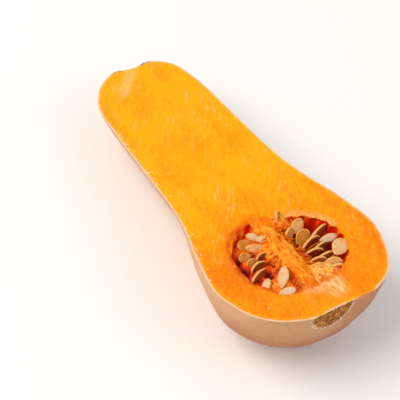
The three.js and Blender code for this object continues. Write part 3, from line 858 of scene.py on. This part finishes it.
def rim_line(settings):
    """Points along the cut's edge in the fruit frame, in millimetres."""
    outline = profile(OUTLINE_STEPS)
    sides = [np.column_stack([outline[:, 0], s * outline[:, 1], 0 * outline[:, 0]]) for s in (1, -1)]
    points = np.vstack(sides)
    return grown_fruit(points, np.zeros(len(points)), settings.rib_height / MM)


def surface_slots(body):
    """Rind (0) or flesh (1) for each face, by where it lies."""
    total = len(body.data.polygons)
    centre, normal = np.empty(3 * total), np.empty(3 * total)
    body.data.polygons.foreach_get("center", centre)
    body.data.polygons.foreach_get("normal", normal)
    x, y, z = centre.reshape(-1, 3).T / MM
    radius, reach = section_at(x, y, z)
    flat = (z > -TORN_DEPTH) & (normal.reshape(-1, 3)[:, 2] > LOOKS_UP)
    flesh = (flat & (reach < radius + 3)) | hollow_at(x, radius, reach)
    return flesh.astype(np.int32)


def scar_relief(body):
    """Cracked plates on the two corky scars."""
    at = points_of(body) / MM
    cork = np.empty(len(at), dtype=np.float32)
    body.data.attributes["cork"].data.foreach_get("value", cork)
    rough = np.abs(clouds(at, (2.6, 4.5, 2.2), 4.0)) + 0.5 * clouds(at, 1.5, 9.0)
    at[:, 0] += np.sign(at[:, 0]) * cork * (at[:, 2] < -0.3) * 0.8 * rough
    set_points(body, at * MM)


class SQUASH_OT_flesh(bpy.types.Operator):
    """Makes the rind, the cut flesh and the two hollow chambers"""

    bl_idname = "squash.flesh"
    bl_label = "Flesh and Rind"

    def execute(self, context):
        settings = context.scene.squash_flesh
        body = half_body(settings.rib_height / MM)
        ridge = pulp_ridge()
        right, left = chamber("right_room", RIGHT_CHAMBER), chamber("left_room", LEFT_CHAMBER)
        cut_away(right, ridge, keep_tool=True)
        cut_away(left, ridge)
        for tool in (right, left, saddle()):
            cut_away(body, tool)
        if len(body.data.polygons) < RINGS * SEGMENTS // 2:
            raise RuntimeError("the chambers could not be cut out of the flesh")
        at = points_of(body) / MM
        zones = flesh_zones(at, settings)
        flesh_relief(body, at, zones, settings)
        mark_body(body, at, zones)
        scar_relief(body)
        slots = surface_slots(body)
        lay_down(body)
        points = points_of(body)
        points[:, 2] = np.maximum(points[:, 2], 0.0)
        set_points(body, points)
        materials = [rind_material(settings), flesh_material(settings)]
        finish_piece(body, "flesh", materials, "flesh_and_rind", angle=42)
        body.data.polygons.foreach_set("material_index", slots)
        body.data.update()
        return {"FINISHED"}


def seed_axes(heading, dip, roll):
    turn, down, spin = (math.radians(a) for a in (heading, dip, roll))
    level = math.cos(down)
    tip = Vector((math.cos(turn) * level, math.sin(turn) * level, -math.sin(down)))
    flat = Vector((-math.sin(turn), math.cos(turn), 0.0))
    raised = tip.cross(flat)
    across = flat * math.cos(spin) + raised * math.sin(spin)
    return tip, across, tip.cross(across)


def model_seed(settings):
    """One full seed in metres: a flat drop, domed faces, a groove and a raised bead round the edge."""
    deselect()
    bpy.ops.mesh.primitive_uv_sphere_add(segments=36, ring_count=26, radius=1.0)
    seed = named("seed_model")
    x, y, z = points_of(seed).T
    reach = np.clip(np.hypot(x, y), 0, 1)
    bead = 1 - settings.rim_width
    dome = SEED_EDGE + (1 - SEED_EDGE) * np.sqrt(np.clip(1 - (reach / bead) ** 2, 0, 1))
    groove = 0.16 * np.exp(-(((reach - bead) / 0.07) ** 2))
    closing = np.sqrt(np.clip(1 - np.clip((reach - bead) / (1 - bead), 0, 1) ** 2, 0, 1))
    raised = (SEED_EDGE - groove) * closing + 0.1 * closing * (reach > bead)
    height = np.where(reach < bead, dome - groove, raised)
    spread = np.sin(0.5 * math.pi * reach) ** 0.85
    grow = np.where(reach > 1e-6, spread / np.maximum(reach, 1e-6), 1.0)
    px, py = x * grow, y * grow
    taper = 1 - 0.34 * np.maximum(0, px) - 0.1 * np.maximum(0, px) ** 3
    scaled = np.column_stack(
        [
            px * settings.seed_length / 2,
            py * taper * settings.seed_width / 2,
            np.sign(z) * height * (np.abs(z) > 1e-4) * settings.seed_thickness / 2,
        ]
    )
    set_points(seed, scaled)
    edge = np.hypot(px, py)
    set_attribute(seed, "edge", edge)
    set_attribute(seed, "groove", np.exp(-(((edge - bead + 0.06) / 0.06) ** 2)))
    return seed


class SQUASH_OT_seeds(bpy.types.Operator):
    """Makes one seed and lays a copy of it at each seed's place"""

    bl_idname = "squash.seeds"
    bl_label = "Seeds"

    def execute(self, context):
        settings = context.scene.squash_seeds
        model = model_seed(settings)
        coat = seed_material(settings)
        for side, seeds in (("right", RIGHT_SEEDS), ("left", LEFT_SEEDS)):
            for number, (x, y, depth, heading, dip, roll, long, wide, bleach, smear) in enumerate(seeds):
                select_only(model)
                bpy.ops.object.duplicate()
                seed = named(f"{side}_seed_{number + 1:02d}")
                tip, across, face = seed_axes(heading, dip, roll)
                stand = Matrix((tip * long, across * wide, face)).transposed().to_4x4()
                stand.translation = Vector((x, y, -depth)) * MM
                bent = points_of(seed)
                bent[:, 2] += SEED_BEND * (bent[:, 0] ** 2) * (1 if number % 2 else -1)
                set_points(seed, bent)
                seed.data.transform(stand)
                set_attribute(seed, "bleach", np.full(len(bent), bleach))
                # How red the seed's faces are: partly pulp juice, partly painted shade.
                set_attribute(seed, "smear", np.full(len(bent), smear))
                lay_down(seed)
                finish_piece(seed, "seed_coat", [coat], f"{side}_seed_cluster")
        bpy.data.objects.remove(model, do_unlink=True)
        return {"FINISHED"}


def model_string():
    """One straight string, a metre long and a metre in radius, drawn out by extruding and narrowing."""
    deselect()
    bpy.ops.mesh.primitive_circle_add(vertices=STRING_SIDES, radius=1.0, fill_type="NGON")
    string = named("string_model")
    bpy.ops.object.mode_set(mode="EDIT")
    for step in range(STRING_STEPS):
        bpy.ops.mesh.extrude_region_move(TRANSFORM_OT_translate={"value": (0, 0, 1 / STRING_STEPS)})
        before, after = (1 - STRING_TAPER * (n / STRING_STEPS) ** 2 for n in (step, step + 1))
        bpy.ops.transform.resize(value=(after / before, after / before, 1))
    bpy.ops.mesh.select_all(action="SELECT")
    bpy.ops.mesh.normals_make_consistent(inside=False)
    bpy.ops.object.mode_set(mode="OBJECT")
    return string


def mesh_piece(name, places, corners):
    """A new object from lists of points in millimetres and from its faces' corners."""
    mesh = bpy.data.meshes.new(name)
    mesh.from_pydata((np.vstack(places) * MM).tolist(), [], corners)
    piece = bpy.data.objects.new(name, mesh)
    bpy.context.scene.collection.objects.link(piece)
    return piece


def bent_strings(name, model, strings):
    """One mesh of copies of the model string. A string is (points, radius, red), in millimetres."""
    shape = points_of(model)
    faces = [tuple(p.vertices) for p in model.data.polygons]
    places, corners, tips, reds = [], [], [], []
    for points, radius, red in strings:
        path = np.asarray(points, dtype=float)
        walked = walked_along(path)
        walked /= walked[-1]
        ways = np.gradient(path, axis=0)
        at = np.column_stack([np.interp(shape[:, 2], walked, path[:, k]) for k in range(3)])
        way = np.column_stack([np.interp(shape[:, 2], walked, ways[:, k]) for k in range(3)])
        way /= np.linalg.norm(way, axis=1)[:, None]
        helper = np.where(np.abs(way[:, 2:3]) > 0.9, [[1.0, 0.0, 0.0]], [[0.0, 0.0, 1.0]])
        side = np.cross(helper, way)
        side /= np.linalg.norm(side, axis=1)[:, None]
        other = np.cross(way, side)
        corners += [tuple(v + len(shape) * len(tips) for v in face) for face in faces]
        places.append(at + radius * (shape[:, 0:1] * side + shape[:, 1:2] * other))
        tips.append(shape[:, 2])
        reds.append(np.full(len(shape), red))
    piece = mesh_piece(name, places, corners)
    set_attribute(piece, "tip", np.concatenate(tips))
    set_attribute(piece, "red", np.concatenate(reds))
    lay_down(piece)
    return piece


def ridge_top(x, y):
    """How high the ridge of pulp between the chambers stands at a place, in millimetres."""
    away = np.abs((np.asarray(x) - SEPTUM_AT[0]) / SEPTUM_SIZE[0])
    round_end = np.maximum(1 - away**SEPTUM_FULL, 0.0) ** (2 / SEPTUM_FULL)
    across = (np.asarray(y) - SEPTUM_AT[1]) / SEPTUM_SIZE[1]
    return SEPTUM_AT[2] + SEPTUM_SIZE[2] * np.sqrt(np.maximum(round_end - across**2, 0.0))


def pulp_bed(name, place, size, pale, dry, full):
    """A lumpy, stringy mass of pulp: a ball drawn out along the fruit, with fibres raised on it."""
    deselect()
    bpy.ops.mesh.primitive_uv_sphere_add(segments=110, ring_count=110, radius=1.0)
    bed = named(name)
    across, up, along = points_of(bed).T
    fuller = np.maximum(1 - np.abs(along) ** full, 0) ** (1 / full) / np.sqrt(np.maximum(1 - along**2, 1e-6))
    ball = np.column_stack([along, across * fuller, up * fuller])
    at = ball * size + place
    lumps = clouds(at, (7.0, 4.0, 4.0), 2.0)
    fibres = 0.5 - 2.2 * np.abs(clouds(at, (6.0, 2.2, 2.4), 6.0)) + 0.5 * clouds(at, (3.0, 1.3, 1.6), 9.0)
    at += ball * (1.3 * lumps + 0.55 * fibres)[:, None]
    away = [((at[:, 0] - x) ** 2 + (at[:, 1] - y) ** 2) / r**2 for x, y, r in PULP_GAPS]
    gap = sum(np.exp(-a) for a in away)
    at[:, 2] -= 3.5 * gap * smooth(0.0, 0.4, ball[:, 2])
    set_points(bed, at * MM)
    # Painted shade: redder lower down, in the gaps and on the +Y side.
    sunk_shade = smooth(-4, -13, at[:, 2]) + 1.2 * gap + 0.3 * smooth(0.2, 0.9, ball[:, 1])
    merging = 0.4 * smooth(54, 46, at[:, 0])
    set_attribute(bed, "dry", np.full(len(at), dry))
    # Painted highlight on the raised lumps and fibres, painted shade in the hollows between them.
    set_attribute(bed, "tip", np.clip(pale + 0.5 * lumps + 0.6 * fibres + merging, 0, 1))
    set_attribute(bed, "red", np.clip(0.2 - pale - 0.9 * lumps - 0.7 * fibres + 0.9 * sunk_shade, 0, 1.8))
    lay_down(bed)
    return bed


def wandering(draw, start, way, length_mm, sag=0.0, wander=0.25, steps=6):
    """Points of a string that leaves a root in one direction, wanders a little and sags."""
    way = np.asarray(way, dtype=float)
    way /= np.linalg.norm(way)
    points = [np.asarray(start, dtype=float)]
    for _ in range(steps):
        way = way + draw.normal(0.0, wander, 3) / steps**0.5
        way[2] -= sag / steps
        way /= np.linalg.norm(way)
        points.append(points[-1] + way * length_mm / steps)
    return np.array(points)


def cord_points(points, steps=24):
    """A smooth line through a cord's points."""
    given = np.array(points, dtype=float)
    ends = np.linspace(0, len(given) - 1, steps)
    return np.column_stack([np.interp(ends, np.arange(len(given)), given[:, k]) for k in range(3)])


def septum_strings(draw, how_many, radius):
    """Strings that lie on the ridge of pulp and point away from its middle line."""
    strings = []
    for _ in range(how_many):
        x, y = draw.uniform(42, 99), SEPTUM_AT[1] + SEPTUM_SIZE[1] * draw.uniform(-0.95, 0.9)
        outward = (y - SEPTUM_AT[1]) / SEPTUM_SIZE[1]
        way = (draw.normal(0.8, 0.4), 1.3 * outward + draw.normal(0, 0.35), 0.0)
        path = wandering(draw, (x, y, 0.0), way, draw.uniform(2.5, 7.0), wander=0.45)
        lift = np.linspace(0.0, draw.uniform(-0.3, 0.7), len(path))
        path[:, 2] = ridge_top(path[:, 0], path[:, 1]) + 0.15 + lift
        strings.append((path, radius * draw.uniform(0.6, 1.4), draw.uniform(-0.3, 0.2)))
    return strings


def chamber_strings(draw, how_many, radius, side, seeds, cord):
    """A chamber's cord, the string from it to each seed, and loose strings that sag from the ridge."""
    line = cord_points(cord)
    strings = [(line, CORD_RADIUS, 0.55)]
    for x, y, depth, heading, dip, _, long, _, _, _ in seeds:
        tip = np.array(seed_axes(heading, dip, 0)[0])
        start = np.array((x, y, -depth)) + tip * (SEED_LENGTH * long / 2 - 1.0)
        end = line[np.argmin(np.linalg.norm(line - start, axis=1))]
        middle = (start + end) / 2 + draw.normal(0, 0.8, 3)
        strings.append((np.array([end, middle, start]), SEED_STRING_RADIUS, 0.4))
    for _ in range(how_many):
        x = draw.uniform(48, 97)
        depth = draw.uniform(1, 11)
        start = (x, pulp_edge(side, x, depth) - side * 0.6, -depth)
        fan = (x - 73) * 0.03
        way = (fan + draw.normal(0, 0.35), side * draw.uniform(0.4, 1.2), draw.normal(-0.25, 0.3))
        path = wandering(draw, start, way, draw.uniform(4, 10), sag=0.9)
        thickness = radius * draw.uniform(0.9, 2.0)
        strings.append((path, thickness, draw.uniform(0.0, 0.6) + 0.3 * (side < 0)))
    return strings


def blossom_fibres(draw, how_many, radius):
    """Short fibres that stand in the torn flesh past the chambers."""
    strings = []
    for _ in range(how_many):
        x, y = draw.uniform(97, 109), draw.normal(3, 9)
        way = (draw.uniform(0.6, 1.2), draw.normal(0.1, 0.5), draw.normal(0.1, 0.15))
        path = wandering(draw, (x, y, -0.9), way, draw.uniform(1.5, 4.5), sag=0.6)
        strings.append((path, radius * draw.uniform(0.5, 1.1), 0.0))
    return strings


class SQUASH_OT_pulp(bpy.types.Operator):
    """Makes the masses of pulp, the cords that the seeds grew on and the strings of pulp"""

    bl_idname = "squash.pulp"
    bl_label = "Pulp"

    def execute(self, context):
        settings = context.scene.squash_pulp
        radius = settings.string_radius / MM
        material = pulp_material(settings)
        model = model_string()
        draw = np.random.default_rng(PULP_DRAW)
        pieces = [("septum_pulp", "flesh_and_rind", septum_strings(draw, settings.septum_strings, radius))]
        sides = (("right", 1, RIGHT_SEEDS, RIGHT_CORD), ("left", -1, LEFT_SEEDS, LEFT_CORD))
        for name, *of_side in sides:
            strings = chamber_strings(draw, settings.chamber_strings, radius, *of_side)
            pieces.append((f"{name}_chamber_pulp", f"{name}_seed_cluster", strings))
        fibres = blossom_fibres(draw, settings.blossom_fibres, radius)
        pieces.append(("blossom_fibres", "flesh_and_rind", fibres))
        for name, bed in PULP_BEDS.items():
            finish_piece(pulp_bed(name, *bed), "flesh", [material], "flesh_and_rind")
        for name, node, strings in pieces:
            finish_piece(bent_strings(name, model, strings), "flesh", [material], node)
        bpy.data.objects.remove(model, do_unlink=True)
        return {"FINISHED"}


class SQUASH_OT_crumbs(bpy.types.Operator):
    """Makes the pale crumbs that the knife left along the near edge and on the face"""

    bl_idname = "squash.crumbs"
    bl_label = "Crumbs"

    def execute(self, context):
        settings = context.scene.squash_pulp
        draw = np.random.default_rng(CRUMB_DRAW)
        rim = rim_line(context.scene.squash_flesh)
        near = rim[(rim[:, 1] < 0) & (rim[:, 0] > CRUMBS_FROM) & (rim[:, 0] < CRUMBS_TO)]
        deselect()
        bpy.ops.mesh.primitive_ico_sphere_add(subdivisions=2, radius=1.0)
        model = named("crumb_model")
        shape, faces = points_of(model), [tuple(p.vertices) for p in model.data.polygons]
        places, corners = [], []
        for number in range(settings.crumbs):
            if number % FACE_CRUMB_EVERY:
                x, y, _ = near[draw.integers(len(near))]
                y += abs(draw.normal(1.0, 1.6)) + 0.7
                heading = draw.normal(0.05, 0.25)
            else:
                x, y = draw.uniform(-60, 112), draw.uniform(-34, 34)
                heading = draw.uniform(0, math.pi)
                # Beside the chambers rather than in them.
                if 38 < x < 104 and abs(y + 2) < 36:
                    y = 39 * np.sign(y + 2)
            size = np.array([draw.uniform(0.4, 1.5), draw.uniform(0.18, 0.35), draw.uniform(0.12, 0.22)])
            bumps = 1 + 0.3 * clouds(shape + number, 0.8)
            turned = shape * bumps[:, None] * size
            c, s = math.cos(heading), math.sin(heading)
            turned[:, :2] = turned[:, :2] @ np.array([[c, s], [-s, c]])
            corners += [tuple(v + len(shape) * number for v in face) for face in faces]
            places.append(turned + (x, y, 0.05))
        crumbs = mesh_piece("crumbs", places, corners)
        lay_down(crumbs)
        finish_piece(crumbs, "flesh", [crumb_material(settings)])
        bpy.data.objects.remove(model, do_unlink=True)
        return {"FINISHED"}


def point_at(thing, target):
    thing.rotation_euler = (Vector(target) - thing.location).to_track_quat("-Z", "Y").to_euler()


def soft_light(name, at, watts, tint):
    deselect()
    bpy.ops.object.light_add(type="AREA", location=at)
    lamp = bpy.context.active_object
    lamp.name = name
    lamp.data.shape = "DISK"
    lamp.data.size = LAMP_SIZE
    lamp.data.energy = watts
    lamp.data.color = linear(tint)[:3]
    point_at(lamp, LIT_PLACE)


class SQUASH_OT_stage(bpy.types.Operator):
    """Makes the camera, the pale floor and the soft studio light"""

    bl_idname = "squash.stage"
    bl_label = "Stage"

    def execute(self, context):
        settings = context.scene.squash_stage
        turn = REST.to_3x3()
        right, up = turn @ Vector(CAMERA_RIGHT), turn @ Vector(CAMERA_UP)
        pose = Matrix((right, up, right.cross(up))).transposed().to_4x4()
        pose.translation = REST @ (Vector(CAMERA_AT) * MM)
        deselect()
        bpy.ops.object.camera_add()
        camera = context.active_object
        camera.name = "camera"
        camera.matrix_world = pose
        camera.data.sensor_width = SENSOR_WIDTH
        camera.data.sensor_fit = "HORIZONTAL"
        camera.data.lens = CAMERA_LENS
        camera.data.clip_end = 20.0
        context.scene.camera = camera

        deselect()
        bpy.ops.mesh.primitive_plane_add(size=settings.floor_size, location=(0, 0, 0))
        floor = named("floor")
        material, tree = new_material("pale_floor")
        place = add_node(tree, "TexCoord", {}, "Object")
        base = washed(tree, settings.floor, WHITE, lumps_at(tree, place, 900, 0.3, 0.7, 0.0, 0.04))
        finish = {"Base Color": base, "Roughness": 0.9, "Specular IOR Level": 0.1}
        finish_surface(tree, lumps_at(tree, place, 20, 0.0, 1.0), 0.05, finish)
        floor.data.materials.append(material)

        soft_light("key_light", KEY_AT, settings.key_power, "fffaf4")
        soft_light("fill_light", FILL_AT, settings.fill_power, "ffffff")

        world = bpy.data.worlds.new("white_surroundings")
        world.use_nodes = True
        background = world.node_tree.nodes["Background"]
        background.inputs["Color"].default_value = WHITE
        background.inputs["Strength"].default_value = settings.sky
        context.scene.world = world
        context.scene.view_settings.view_transform = "Standard"
        return {"FINISHED"}


class SQUASH_PT_panel(bpy.types.Panel):
    """Lists the squash's pieces"""

    bl_idname = "SQUASH_PT_panel"
    bl_label = "Butternut Squash Half"
    bl_space_type = "VIEW_3D"
    bl_region_type = "UI"
    bl_category = "Squash"

    def draw(self, context):
        for operator in OPERATORS:
            self.layout.operator(operator.bl_idname)


OPERATORS = (SQUASH_OT_stage, SQUASH_OT_flesh, SQUASH_OT_seeds, SQUASH_OT_pulp, SQUASH_OT_crumbs)
SETTINGS = {
    "squash_flesh": SquashFleshSettings,
    "squash_seeds": SquashSeedSettings,
    "squash_pulp": SquashPulpSettings,
    "squash_stage": SquashStageSettings,
}


def register():
    for kind in (*SETTINGS.values(), *OPERATORS, SQUASH_PT_panel):
        bpy.utils.register_class(kind)
    for name, kind in SETTINGS.items():
        setattr(bpy.types.Scene, name, PointerProperty(type=kind))


def unregister():
    for name in SETTINGS:
        delattr(bpy.types.Scene, name)
    for kind in reversed((*SETTINGS.values(), *OPERATORS, SQUASH_PT_panel)):
        bpy.utils.unregister_class(kind)


def main():
    register()
    bpy.ops.squash.stage()
    bpy.ops.squash.flesh()
    bpy.ops.squash.seeds()
    bpy.ops.squash.pulp()
    bpy.ops.squash.crumbs()


if __name__ == "__main__":
    main()
